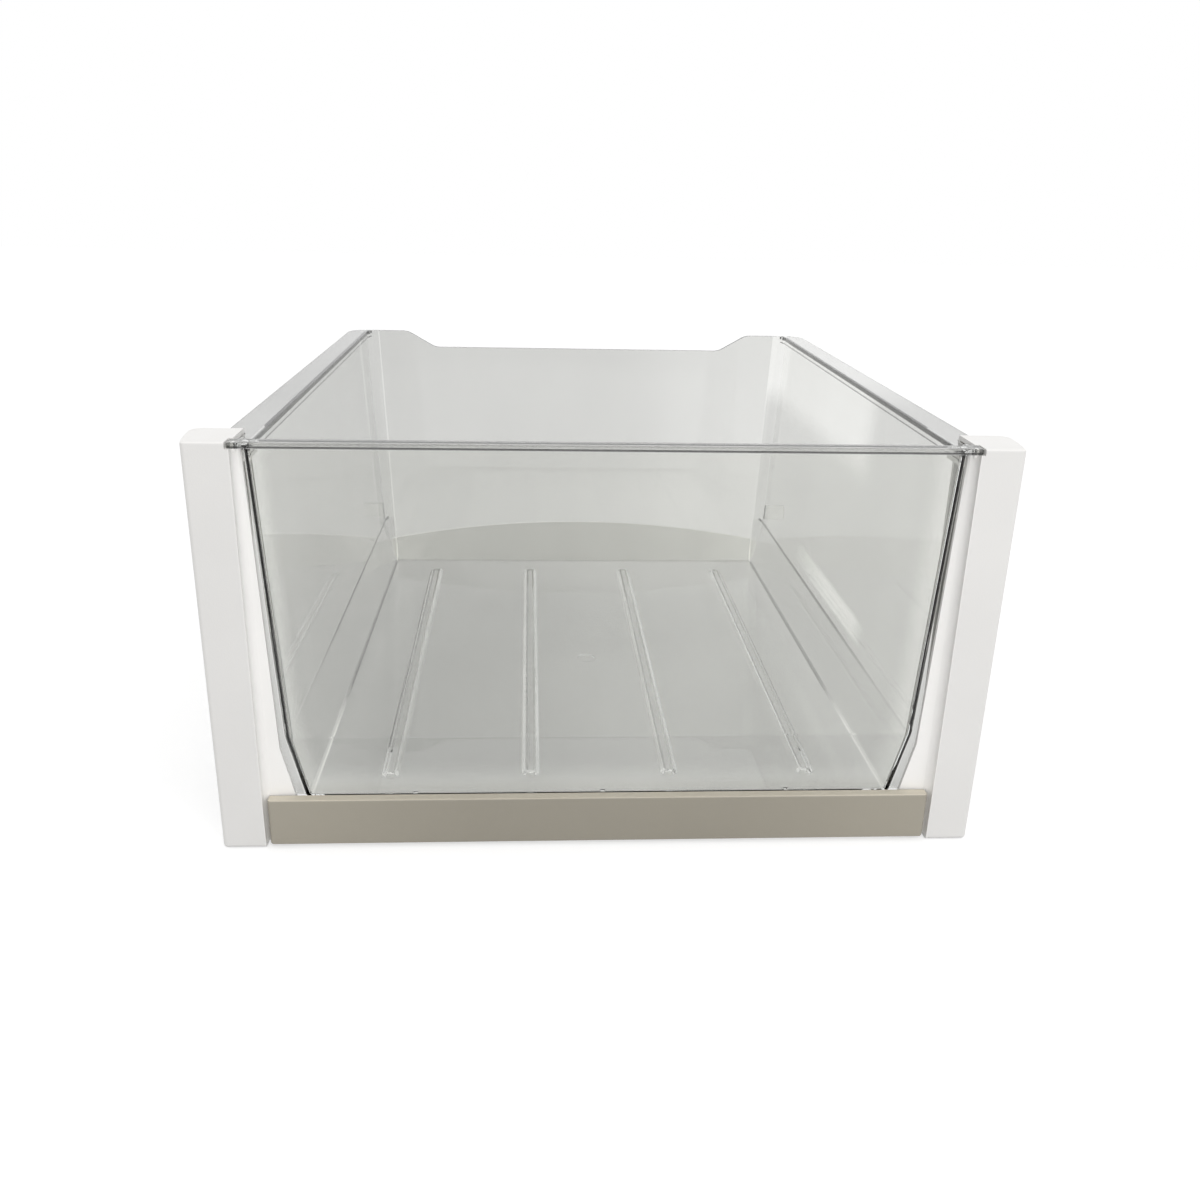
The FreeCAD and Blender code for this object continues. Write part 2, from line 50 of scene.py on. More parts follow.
# Sizes of the tub, its half widths to the side walls' inner faces
WALL_THICKNESS = 0.0028
RIM_THICKNESS = 0.0028
FLANGE_THICKNESS = 0.0028
SIDE_TOP_Z = TOP_Z - RIM_THICKNESS
FLANGE_UNDER_Z = SIDE_TOP_Z - FLANGE_THICKNESS
FLOOR_Z = 0.0264
BEND_Z = 0.0616
HALF_AT_TOP = 0.1706
HALF_AT_BEND = 0.1626
HALF_AT_FLOOR = 0.1546
SIDE_TAPER = 0.0101
REAR_IN_TOP_Y = REAR_Y - WALL_THICKNESS
REAR_DRAW = 0.0292
ARCH_SIDE_Z = 0.0444
ARCH_RISE = 0.0144
ARCH_HALF_WIDTH = 0.1506
FRONT_WALL_DEPTH = 0.0106
FRONT_OUT_AT_FLOOR_Y = FRONT_Y + 0.0092
FRONT_OUT_AT_BEND_Y = FRONT_Y + 0.0072
RIM_REAR_Y = FRONT_Y + 0.0092
CORNER_FLANGE_REAR_Y = FRONT_Y + 0.0123

# Share of light that passes one wall of the clear plastic: lower on the left, on the floor and at the feet
# of the walls as painted shade, higher on the right as painted light
FRONT_PASS = 0.83
FRONT_FOOT_SHADE = 0.93
LEFT_PASS_HIGH = 0.61
LEFT_PASS_LOW = 0.567
LEFT_FOOT_PASS = 0.525
RIGHT_PASS_HIGH = 0.665
RIGHT_PASS_LOW = 0.635
RIGHT_FOOT_PASS = 0.59
REFLECTION_PATCH_PASS = 0.85
REFLECTION_BAND_PASS = 0.88
FLOOR_LEFT_PASS = 0.515
FLOOR_RIGHT_PASS = 0.61
REAR_LEFT_PASS = 0.61
REAR_RIGHT_PASS = 0.72
REAR_FOOT_SHADE = 0.77
FLANGE_LEFT_FRONT_PASS = 0.45
FLANGE_LEFT_PASS = 0.38
FLANGE_RIGHT_FRONT_PASS = 0.5
FLANGE_RIGHT_PASS = 0.7
CORNER_FLANGE_PASS = 0.62
LUG_PASS = 0.98
RIM_PASS = 0.64

# Stretches over which a share changes: from, to
FOLD_STRETCH = (-0.001, 0.001)
LEFT_STRETCH_Z = (0.09, 0.19)
RIGHT_STRETCH_Z = (0.11, 0.17)
REAR_STRETCH_X = (-0.02, HALF_AT_TOP)
REAR_STRETCH_DEPTH = (-0.01, -0.004)
FRONT_STRETCH_Y = (FRONT_Y + FRONT_WALL_DEPTH, FRONT_Y + 0.05)
FLANGE_LEFT_STRETCH_Y = (FRONT_Y + 0.06, FRONT_Y + 0.14)
FLANGE_RIGHT_STRETCH_Y = (FRONT_Y + 0.09, FRONT_Y + 0.22)

# Painted reflection on the right wall: a paler patch high at the rear, and a paler band over the bend.
# The band has a place, a half width and a soft edge
REFLECTION_PATCH_Y = (FRONT_Y + 0.13, FRONT_Y + 0.17)
REFLECTION_PATCH_Z = (0.155, 0.18)
REFLECTION_BAND = (BEND_Z + 0.014, 0.007, 0.002)
REFLECTION_BAND_START_Y = (FRONT_Y + 0.10, FRONT_Y + 0.13)
REFLECTION_BAND_END_Y = (FRONT_Y + 0.18, FRONT_Y + 0.30)

# Limits of the tub's regions, and how near to a face a point counts as on it
SLACK = 0.0002
THIN_SLACK = 0.0001
FLOOR_LIMIT_Z = FLOOR_Z + 0.003
FOOT_LIMIT_Z = FLOOR_Z + 0.0012
ON_INNER_SIDE = 0.001
ON_FLANGE = 0.0003
OUTSIDE_WALL = 0.0034
LUG_LIMIT_Z = 0.1
LUG_LIMIT_Y = 0.1
ON_INNER_REAR = 0.0014
BEFORE_REAR_FOOT = -0.006
BEFORE_REAR_CORNER = -0.008
RIM_FRONT_LIMIT_Y = FRONT_Y + 0.002

# Soft edge of a painted line, unless the line says otherwise
LINE_SOFT = 0.0003

# Painted lines on the side walls, as painted shade where the plastic bends light away, and at the foot a
# painted highlight at the front turning to painted shade at the rear: place, half width, soft edge
UNDER_TOP_BAND = (0.0006, 0.0018, 0.0004)
UNDER_TOP_LINE = (0.0046, 0.0004, LINE_SOFT)
BEND_LINE = (BEND_Z, 0.0011, 0.0006)
FOOT_LINE = (-0.0004, 0.0008, 0.0005)
SIDE_SHADE_LINE_PASS = 0.03
UNDER_TOP_LINE_STRENGTH = 0.9
BEND_LINE_STRENGTH = 0.85
BEND_LINE_FRONT_SHARE = 0.2
BEND_LINE_STRETCH_Y = (FRONT_Y + 0.03, FRONT_Y + 0.2)
FOOT_LINE_STRENGTH = 0.8
FOOT_LINE_HIGHLIGHT_PASS = 0.98
FOOT_LINE_SHADE_PASS = 0.15
FOOT_LINE_STRETCH_Y = (FRONT_Y + 0.08, FRONT_Y + 0.16)

# Painted highlights on the rear wall, bright lines at its corners and along its arch. Those at its corners
# stand where the photograph has them
REAR_CORNER_LINE_AT_FLOOR = 0.1503
REAR_CORNER_LINE_AT_TOP = 0.1588
REAR_CORNER_HALF_WIDTH = 0.0005
REAR_CORNER_STRENGTH = 0.9
REAR_CORNER_HIGHLIGHT_PASS = 0.84
ARCH_LINE = (0.0002, 0.0004, LINE_SOFT)
ARCH_LINE_STRETCH_X = (-0.02, 0.06)
ARCH_LINE_LEFT_STRENGTH = 0.8
ARCH_LINE_RIGHT_STRENGTH = 0.35
ARCH_HIGHLIGHT_PASS = 0.95

# Painted shade lines at the front, dark where the plastic bends light away: the folds of the panel's
# sides, and the rim
FOLD_AT_FLOOR = 0.0014
FOLD_AT_BEND = 0.0003
FOLD_HALF_AT_FLOOR = 0.0016
FOLD_HALF_ABOVE_BEND = 0.0004
FOLD_NARROW_Z = BEND_Z + 0.004
FOLD_SHADE_PASS = 0.02
SECOND_FOLD_LINE = (-0.0018, 0.0003, LINE_SOFT)
SECOND_FOLD_STRETCH_Z = (0.10, 0.17)
SECOND_FOLD_STRENGTH = 0.8
SECOND_FOLD_SHADE_PASS = 0.06
UNDER_RIM_LINE = (SIDE_TOP_Z + 0.0007, 0.0006, LINE_SOFT)
UNDER_RIM_SHADE_PASS = 0.02
RIM_BROW_LINE = (TOP_Z - 0.0006, 0.0003, LINE_SOFT)
RIM_BROW_STRENGTH = 0.6
RIM_BROW_SHADE_PASS = 0.3
RIM_REAR_LINE = (RIM_REAR_Y - 0.0022, 0.0012, LINE_SOFT)
RIM_REAR_SHADE_PASS = 0.15

# Clear and opaque plastic
PLASTIC_IOR = 1.5
CLOUD_RANGE = (0.3, 0.7)

# Clear plastic
CLEAR_CLOUD_SCALE = 9.0
CLEAR_CLOUD_SHARES = (0.975, 1.025)
HAZE_SCALE = 60.0
HAZE_RANGE = (0.45, 0.75)
HAZE_ROUGHNESS = (0.002, 0.009)
RIPPLE_SCALE = 18.0
RIPPLE_DISTANCE = 0.00003
TUB_TINT = (1.0, 1.003, 0.978)
REAR_FOOT_WARMTH = (0.0, 0.0, -0.035)
LEAK_COLOUR = (0.93, 0.935, 0.93, 1)

# Surfaces that a caught ray meets before it leaks out
DEEP_PATH = 8.0
DEEP_PATH_IN_FLOOR = 6.0
DEEP_PATH_AT_FRONT = 4.0
DEEP_FRONT_LIMIT_Y = FRONT_Y + 0.09
DEEP_TOP_LIMIT_Z = SIDE_TOP_Z - 0.0005

# Opaque plastic
MOULDED_CLOUD_SCALE = 14.0
MOULDED_CLOUD_SHARES = (0.985, 1.015)
LIT_UPWARD_RANGE = (0.4, 0.9)
RUBBED_SCALE = 45.0
RUBBED_RANGE = (0.35, 0.65)
RUBBED_SMOOTHER = 0.05
RUBBED_ROUGHER = 0.06
GRAIN_SCALE = 1400.0

# Studio
WORLD_LIGHT = 0.8
FLOOR_GLOW = 0.55
FLOOR_COLOUR = 0.6
FLOOR_SIZE = 8.0
FLOOR_LEVEL_Z = -0.0005
LAMP_PLACE = (0.36, FRONT_Y - 1.05, 0.75)
LAMP_TARGET = (0, FRONT_Y, 0.1)
LAMP_WIDTH = 1.3
LAMP_HEIGHT = 1.1
LAMP_WATTS = 7

# Camera, fitted to the photograph
CAMERA_FROM_FRONT = 0.5199
CAMERA_X = -0.0393
CAMERA_Z = 0.3393
PITCH_DOWN = math.radians(20.97)
YAW_RIGHT = math.radians(3.81)
ROLL = math.radians(-1.40)
SENSOR = 36.0
IMAGE_SIZE = 1200.0
FOCAL_PIXELS = 1130.6
CENTRE_X_PIXELS = 599.3
CENTRE_Y_PIXELS = 601.5
CLIP_NEAR = 0.01
CLIP_FAR = 50.0


def new_material(name):
    """Empty node material with an output node."""
    material = bpy.data.materials.new(name)
    material.use_nodes = True
    tree = material.node_tree
    tree.nodes.clear()
    output = tree.nodes.new("ShaderNodeOutputMaterial")
    return material, tree, output


def set_inputs(shader, values):
    """Set a shader's own sockets from a dictionary."""
    for key, value in values.items():
        shader.inputs[key].default_value = value


def feed(tree, socket, value):
    """Link a node's output to a socket, or set the socket to a plain number."""
    if isinstance(value, (int, float)):
        socket.default_value = value
    else:
        tree.links.new(value, socket)


def math_node(tree, operation, *values):
    """Output of a Math node with the given inputs."""
    made = tree.nodes.new("ShaderNodeMath")
    made.operation = operation
    for socket, value in zip(made.inputs, values):
        feed(tree, socket, value)
    return made.outputs[0]


def absolute(tree, value):
    """A value without its sign."""
    return math_node(tree, "ABSOLUTE", value)


def difference(tree, first, second):
    """The first value less the second."""
    return math_node(tree, "SUBTRACT", first, second)


def less(tree, value, limit):
    """1 where a value is below a limit."""
    return math_node(tree, "LESS_THAN", value, limit)


def more(tree, value, limit):
    """1 where a value is above a limit."""
    return math_node(tree, "GREATER_THAN", value, limit)


def product(tree, *values):
    """Product of several values."""
    result = values[0]
    for value in values[1:]:
        result = math_node(tree, "MULTIPLY", result, value)
    return result


def blend(tree, first, second, share):
    """Goes from the first value to the second as the share goes from 0 to 1."""
    change = difference(tree, second, first)
    return math_node(tree, "MULTIPLY_ADD", change, share, first)


def ramp(tree, value, low, high, at_low, at_high, way="SMOOTHSTEP"):
    """Change from one number to another while a value goes from low to high."""
    made = tree.nodes.new("ShaderNodeMapRange")
    made.interpolation_type = way
    for name, number in (("Value", value), ("From Min", low), ("From Max", high),
                         ("To Min", at_low), ("To Max", at_high)):
        feed(tree, made.inputs[name], number)
    return made.outputs["Result"]


def ramp_straight(tree, value, low, high, at_low, at_high):
    """Straight change, held at both ends."""
    return ramp(tree, value, low, high, at_low, at_high, "LINEAR")


def near(tree, value, place, half_width, soft=LINE_SOFT):
    """1 where a value is near a place, with soft ends. The place and the width may vary."""
    distance = absolute(tree, difference(tree, value, place))
    inner = difference(tree, half_width, soft)
    outer = math_node(tree, "ADD", half_width, soft)
    return ramp(tree, distance, inner, outer, 1, 0)


def object_place(tree):
    """The object coordinates and their three parts."""
    place = tree.nodes.new("ShaderNodeTexCoord").outputs["Object"]
    split = tree.nodes.new("ShaderNodeSeparateXYZ")
    tree.links.new(place, split.inputs[0])
    return place, split.outputs["X"], split.outputs["Y"], split.outputs["Z"]


def noise(tree, place, scale, detail, stretch=(1, 1, 1)):
    """Noise value over the object, stretched along its axes."""
    mapping = tree.nodes.new("ShaderNodeMapping")
    mapping.inputs["Scale"].default_value = stretch
    made = tree.nodes.new("ShaderNodeTexNoise")
    set_inputs(made, {"Scale": scale, "Detail": detail})
    tree.links.new(place, mapping.inputs["Vector"])
    tree.links.new(mapping.outputs["Vector"], made.inputs["Vector"])
    return made.outputs["Fac"]


def bump(tree, height, distance, shader):
    """Bump a shader's normal by a height value."""
    made = tree.nodes.new("ShaderNodeBump")
    made.inputs["Distance"].default_value = distance
    tree.links.new(height, made.inputs["Height"])
    tree.links.new(made.outputs["Normal"], shader.inputs["Normal"])


def tinted(tree, colour, value):
    """A colour multiplied by a value."""
    made = tree.nodes.new("ShaderNodeVectorMath")
    made.operation = "SCALE"
    made.inputs[0].default_value = colour
    tree.links.new(value, made.inputs["Scale"])
    return made.outputs[0]


def side_depth(tree, x, y, z):
    """How far a point lies outside the inner faces of the side walls."""
    upper = ramp_straight(tree, z, BEND_Z, SIDE_TOP_Z, HALF_AT_BEND, HALF_AT_TOP)
    lower = ramp_straight(tree, z, FLOOR_Z, BEND_Z, HALF_AT_FLOOR - HALF_AT_BEND, 0)
    half = math_node(tree, "ADD", upper, lower)
    half = math_node(tree, "MULTIPLY_ADD", difference(tree, y, FRONT_Y), -SIDE_TAPER, half)
    return difference(tree, absolute(tree, x), half)


def rear_depth(tree, y, z):
    """How far a point lies outside the inner face of the rear wall."""
    rise = difference(tree, z, SIDE_TOP_Z)
    face = math_node(tree, "MULTIPLY_ADD", rise, REAR_DRAW, REAR_IN_TOP_Y)
    return difference(tree, y, face)


def arch_height(tree, x):
    """Height of the arch at the foot of the rear wall."""
    share = math_node(tree, "DIVIDE", x, ARCH_HALF_WIDTH)
    square = math_node(tree, "MULTIPLY", share, share)
    return math_node(tree, "MULTIPLY_ADD", square, -ARCH_RISE, ARCH_SIDE_Z + ARCH_RISE)


def corner_place(tree, z):
    """How far from the middle the rear wall's painted corner highlights lie, at a height."""
    return ramp_straight(tree, z, FLOOR_Z, SIDE_TOP_Z, REAR_CORNER_LINE_AT_FLOOR, REAR_CORNER_LINE_AT_TOP)


def side_pass(tree, x, y, z, over_bend):
    """Share of light that the two side walls let through, with painted shade, painted light and a painted
    reflection.
    """
    # Painted shade and light: the left wall passes less than the right, and both pass less lower down and
    # below the bend
    left = ramp(tree, z, *LEFT_STRETCH_Z, LEFT_PASS_LOW, LEFT_PASS_HIGH)
    right = ramp(tree, z, *RIGHT_STRETCH_Z, RIGHT_PASS_LOW, RIGHT_PASS_HIGH)
    # Painted reflection: a paler patch high at the rear of the right wall, and a paler band over its bend
    reflection_patch = product(tree, ramp(tree, y, *REFLECTION_PATCH_Y, 0, 1), ramp(tree, z, *REFLECTION_PATCH_Z, 0, 1))
    right = blend(tree, right, REFLECTION_PATCH_PASS, reflection_patch)
    painted_band = product(tree, near(tree, z, *REFLECTION_BAND), ramp(tree, y, *REFLECTION_BAND_START_Y, 0, 1),
                   ramp(tree, y, *REFLECTION_BAND_END_Y, 1, 0))
    right = blend(tree, right, REFLECTION_BAND_PASS, painted_band)
    left = blend(tree, LEFT_FOOT_PASS, left, over_bend)
    right = blend(tree, RIGHT_FOOT_PASS, right, over_bend)
    return blend(tree, left, right, more(tree, x, 0))


def wall_pass(tree, x, y, z, behind):
    """Share of light that walls and floor let through, with painted shade and light by place, before
    flanges and lines.

    Also gives the height above the rear wall's arch, and 1 on the rear wall's foot.
    """
    above_bend = difference(tree, z, BEND_Z)
    side = side_pass(tree, x, y, z, ramp(tree, above_bend, *FOLD_STRETCH, 0, 1))
    # Painted shade: the floor passes less, most on the left
    base = ramp(tree, x, -HALF_AT_TOP, HALF_AT_TOP, FLOOR_LEFT_PASS, FLOOR_RIGHT_PASS)
    wall = blend(tree, side, base, less(tree, z, FLOOR_LIMIT_Z))
    above_arch = difference(tree, z, arch_height(tree, x))
    rear = ramp(tree, x, *REAR_STRETCH_X, REAR_LEFT_PASS, REAR_RIGHT_PASS)
    # Painted shade: the rear wall passes less below its arch
    rear = product(tree, rear, ramp(tree, above_arch, *FOLD_STRETCH, REAR_FOOT_SHADE, 1))
    inside_corner = less(tree, absolute(tree, x), corner_place(tree, z))
    on_rear = product(tree, inside_corner, ramp(tree, behind, *REAR_STRETCH_DEPTH, 0, 1))
    wall = blend(tree, wall, rear, on_rear)
    # Painted shade: the front wall passes less below the bend
    front = ramp(tree, above_bend, *FOLD_STRETCH, FRONT_PASS * FRONT_FOOT_SHADE, FRONT_PASS)
    wall = blend(tree, front, wall, ramp(tree, y, *FRONT_STRETCH_Y, 0, 1))
    on_rear_foot = product(tree, more(tree, behind, BEFORE_REAR_FOOT), less(tree, above_arch, 0))
    return wall, above_arch, on_rear_foot


def edge_pass(tree, wall, x, y, z, beside):
    """Adds the flanges, corner flanges, lugs and rim to the share of light."""
    outside = more(tree, beside, OUTSIDE_WALL)
    on_top = product(tree, more(tree, z, FLANGE_UNDER_Z - SLACK), more(tree, beside, ON_FLANGE))
    left = ramp(tree, y, *FLANGE_LEFT_STRETCH_Y, FLANGE_LEFT_FRONT_PASS, FLANGE_LEFT_PASS)
    right = ramp(tree, y, *FLANGE_RIGHT_STRETCH_Y, FLANGE_RIGHT_FRONT_PASS, FLANGE_RIGHT_PASS)
    wall = blend(tree, wall, blend(tree, left, right, more(tree, x, 0)), on_top)
    corner = product(tree, outside, less(tree, y, CORNER_FLANGE_REAR_Y + SLACK))
    wall = blend(tree, wall, CORNER_FLANGE_PASS, corner)
    lug = product(tree, outside, less(tree, z, LUG_LIMIT_Z), more(tree, y, LUG_LIMIT_Y))
    wall = blend(tree, wall, LUG_PASS, lug)
    rim = product(tree, more(tree, z, SIDE_TOP_Z + THIN_SLACK), less(tree, y, CORNER_FLANGE_REAR_Y))
    return blend(tree, wall, RIM_PASS, rim)


def side_lines(tree, wall, y, z, beside):
    """Painted shade lines on the side walls, under their tops and along the bend, and a foot line that is
    a painted highlight at the front and painted shade at the rear.
    """
    inner_side = less(tree, absolute(tree, beside), ON_INNER_SIDE)
    below_top = difference(tree, SIDE_TOP_Z, z)
    painted_band = product(tree, inner_side, near(tree, below_top, *UNDER_TOP_BAND))
    wall = blend(tree, wall, SIDE_SHADE_LINE_PASS, painted_band)
    thin = product(tree, inner_side, near(tree, below_top, *UNDER_TOP_LINE), UNDER_TOP_LINE_STRENGTH)
    wall = blend(tree, wall, SIDE_SHADE_LINE_PASS, thin)
    fade = ramp(tree, y, *BEND_LINE_STRETCH_Y, BEND_LINE_FRONT_SHARE, 1)
    bend = product(tree, inner_side, near(tree, z, *BEND_LINE), fade, BEND_LINE_STRENGTH)
    wall = blend(tree, wall, SIDE_SHADE_LINE_PASS, bend)
    foot = product(tree, less(tree, z, FOOT_LIMIT_Z), near(tree, beside, *FOOT_LINE), FOOT_LINE_STRENGTH)
    shade = ramp(tree, y, *FOOT_LINE_STRETCH_Y, FOOT_LINE_HIGHLIGHT_PASS, FOOT_LINE_SHADE_PASS)
    return blend(tree, wall, shade, foot)


def rear_lines(tree, wall, x, z, behind, above_arch):
    """Painted highlights on the rear wall: bright lines at its two corners and along its arch."""
    across = absolute(tree, x)
    on_wall = product(tree, more(tree, behind, BEFORE_REAR_CORNER), less(tree, behind, ON_INNER_REAR))
    corner_highlight = near(tree, across, corner_place(tree, z), REAR_CORNER_HALF_WIDTH)
    corner = product(tree, on_wall, corner_highlight, REAR_CORNER_STRENGTH)
    wall = blend(tree, wall, REAR_CORNER_HIGHLIGHT_PASS, corner)
    inner_rear = less(tree, absolute(tree, behind), ON_INNER_REAR)
    strength = ramp(tree, x, *ARCH_LINE_STRETCH_X, ARCH_LINE_LEFT_STRENGTH, ARCH_LINE_RIGHT_STRENGTH)
    arch = product(tree, inner_rear, near(tree, above_arch, *ARCH_LINE), strength)
    return blend(tree, wall, ARCH_HIGHLIGHT_PASS, arch)


def fold_lines(tree, wall, y, z, beside):
    """Painted shade: dark lines along the folds of the front panel's two sides."""
    outer_y = ramp_straight(tree, z, FLOOR_Z, BEND_Z, FRONT_OUT_AT_FLOOR_Y, FRONT_OUT_AT_BEND_Y)
    outer_face = product(tree, less(tree, y, outer_y), less(tree, z, SIDE_TOP_Z))
    middle = ramp_straight(tree, z, FLOOR_Z, BEND_Z, FOLD_AT_FLOOR, FOLD_AT_BEND)
    half_width = ramp_straight(tree, z, FLOOR_Z, FOLD_NARROW_Z, FOLD_HALF_AT_FLOOR, FOLD_HALF_ABOVE_BEND)
    fold = product(tree, outer_face, near(tree, beside, middle, half_width))
    wall = blend(tree, wall, FOLD_SHADE_PASS, fold)
    strength = ramp(tree, z, *SECOND_FOLD_STRETCH_Z, SECOND_FOLD_STRENGTH, 0)
    strength = product(tree, strength, more(tree, z, BEND_Z))
    second = product(tree, outer_face, near(tree, beside, *SECOND_FOLD_LINE), strength)
    return blend(tree, wall, SECOND_FOLD_SHADE_PASS, second)


def rim_lines(tree, wall, y, z):
    """Painted shade: dark lines along the rim, under it, on its front and at its rear edge."""
    rim = product(tree, more(tree, z, SIDE_TOP_Z - THIN_SLACK), less(tree, y, RIM_REAR_Y + SLACK))
    rim_front = product(tree, rim, less(tree, y, RIM_FRONT_LIMIT_Y))
    under = product(tree, rim_front, near(tree, z, *UNDER_RIM_LINE))
    wall = blend(tree, wall, UNDER_RIM_SHADE_PASS, under)
    brow = product(tree, rim_front, near(tree, z, *RIM_BROW_LINE), RIM_BROW_STRENGTH)
    wall = blend(tree, wall, RIM_BROW_SHADE_PASS, brow)
    rear_edge = product(tree, rim, near(tree, y, *RIM_REAR_LINE))
    return blend(tree, wall, RIM_REAR_SHADE_PASS, rear_edge)


def leak_limit(tree, y, z, beside):
    """How many surfaces a caught ray meets before it leaks out."""
    limit = blend(tree, DEEP_PATH, DEEP_PATH_IN_FLOOR, less(tree, z, FLOOR_LIMIT_Z))
    side_front = product(tree, more(tree, beside, -ON_INNER_SIDE), less(tree, y, DEEP_FRONT_LIMIT_Y),
                         less(tree, z, DEEP_TOP_LIMIT_Z))
    return blend(tree, limit, DEEP_PATH_AT_FRONT, side_front)


def clear_pass(tree):
    """Share of light that one wall lets through over the tub, with its painted light, shade, reflection
    and highlights, and what the material needs beside it.
    """
    place, x, y, z = object_place(tree)
    beside = side_depth(tree, x, y, z)
    behind = rear_depth(tree, y, z)
    wall, above_arch, on_rear_foot = wall_pass(tree, x, y, z, behind)
    cloud = noise(tree, place, CLEAR_CLOUD_SCALE, detail=3.0, stretch=(1, 1, 0.3))
    wall = product(tree, wall, ramp(tree, cloud, *CLOUD_RANGE, *CLEAR_CLOUD_SHARES))
    wall = edge_pass(tree, wall, x, y, z, beside)
    wall = side_lines(tree, wall, y, z, beside)
    wall = rear_lines(tree, wall, x, z, behind, above_arch)
    wall = fold_lines(tree, wall, y, z, beside)
    wall = rim_lines(tree, wall, y, z)
    return wall, place, on_rear_foot, leak_limit(tree, y, z, beside)


def tub_tint(tree, amount, on_rear_foot):
    """Faint green of thick plastic, warmer on the rear wall's foot, times the share that passes."""
    total = tree.nodes.new("ShaderNodeVectorMath")
    total.operation = "ADD"
    total.inputs[0].default_value = TUB_TINT
    tree.links.new(tinted(tree, REAR_FOOT_WARMTH, on_rear_foot), total.inputs[1])
    made = tree.nodes.new("ShaderNodeVectorMath")
    made.operation = "SCALE"
    tree.links.new(total.outputs[0], made.inputs[0])
    tree.links.new(amount, made.inputs["Scale"])
    return made.outputs[0]


def clear_plastic():
    """Polished clear plastic. Lamp light passes it, and light caught in a wall leaks out after a while."""
    material, tree, output = new_material("clear_plastic")
    shader = tree.nodes.new("ShaderNodeBsdfPrincipled")
    set_inputs(shader, {"IOR": PLASTIC_IOR, "Transmission Weight": 1.0})
    amount, place, on_rear_foot, limit = clear_pass(tree)
    tree.links.new(tub_tint(tree, amount, on_rear_foot), shader.inputs["Base Color"])
    haze = noise(tree, place, HAZE_SCALE, detail=4.0)
    tree.links.new(ramp(tree, haze, *HAZE_RANGE, *HAZE_ROUGHNESS), shader.inputs["Roughness"])
    bump(tree, noise(tree, place, RIPPLE_SCALE, detail=1.0), RIPPLE_DISTANCE, shader)
    path = tree.nodes.new("ShaderNodeLightPath")
    passing = tree.nodes.new("ShaderNodeBsdfTransparent")
    passing.inputs["Color"].default_value = LEAK_COLOUR
    deep = more(tree, path.outputs["Ray Depth"], limit)
    through = math_node(tree, "MAXIMUM", path.outputs["Is Shadow Ray"], deep)
    mix = tree.nodes.new("ShaderNodeMixShader")
    tree.links.new(through, mix.inputs[0])
    tree.links.new(shader.outputs[0], mix.inputs[1])
    tree.links.new(passing.outputs[0], mix.inputs[2])
    tree.links.new(mix.outputs[0], output.inputs["Surface"])
    return material


def moulded_plastic(name, colour, roughness, grain, top_light_gain, across):
    """Opaque moulded plastic with a fine grain, slow changes of gloss, and upper faces painted paler as
    painted light from above.

    across says how the shade changes with the distance from the middle: from, to, and the gain at each.
    """
    material, tree, output = new_material(name)
    shader = tree.nodes.new("ShaderNodeBsdfPrincipled")
    shader.inputs["IOR"].default_value = PLASTIC_IOR
    place, x = object_place(tree)[:2]
    cloud = noise(tree, place, MOULDED_CLOUD_SCALE, detail=4.0)
    shade = ramp(tree, cloud, *CLOUD_RANGE, *MOULDED_CLOUD_SHARES)
    facing = tree.nodes.new("ShaderNodeSeparateXYZ")
    tree.links.new(tree.nodes.new("ShaderNodeTexCoord").outputs["Normal"], facing.inputs[0])
    # Painted light: faces that look up are paler
    shade = product(tree, shade, ramp(tree, facing.outputs["Z"], *LIT_UPWARD_RANGE, 1, top_light_gain))
    shade = product(tree, shade, ramp(tree, absolute(tree, x), *across))
    tree.links.new(tinted(tree, colour, shade), shader.inputs["Base Color"])
    rubbed = noise(tree, place, RUBBED_SCALE, detail=5.0, stretch=(1, 1, 0.5))
    worn = ramp(tree, rubbed, *RUBBED_RANGE, roughness - RUBBED_SMOOTHER, roughness + RUBBED_ROUGHER)
    tree.links.new(worn, shader.inputs["Roughness"])
    bump(tree, noise(tree, place, GRAIN_SCALE, detail=2.0), grain, shader)
    tree.links.new(shader.outputs[0], output.inputs["Surface"])
    return material


def white_plastic():
    """White of the two posts, with the webs beside the tub and the upper faces painted paler as painted
    light.
    """
    return moulded_plastic("white_plastic", colour=(0.765, 0.755, 0.738), roughness=0.35, grain=0.00004,
                           top_light_gain=1.2, across=(0.1770, 0.1784, 1.2, 1))


def warm_grey_plastic():
    """Warm grey of the strip, a little paler towards its ends, and its top much paler as painted light."""
    return moulded_plastic("warm_grey_plastic", colour=(0.330, 0.304, 0.250), roughness=0.4, grain=0.00008,
                           top_light_gain=1.8, across=(0.06, 0.17, 0.92, 1.07))


def assign(node_name, material):
    """Give a CAD node one material."""
    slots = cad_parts[node_name].material_slots
    if not slots:
        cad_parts[node_name].data.materials.append(material)
    for slot in slots:
        slot.material = material


def seen_ray(tree):
    """1 for rays that show a thing to the camera, in gloss or through clear plastic."""
    path = tree.nodes.new("ShaderNodeLightPath")
    direct = math_node(tree, "MAXIMUM", path.outputs["Is Camera Ray"], path.outputs["Is Glossy Ray"])
    return math_node(tree, "MAXIMUM", direct, path.outputs["Is Transmission Ray"])


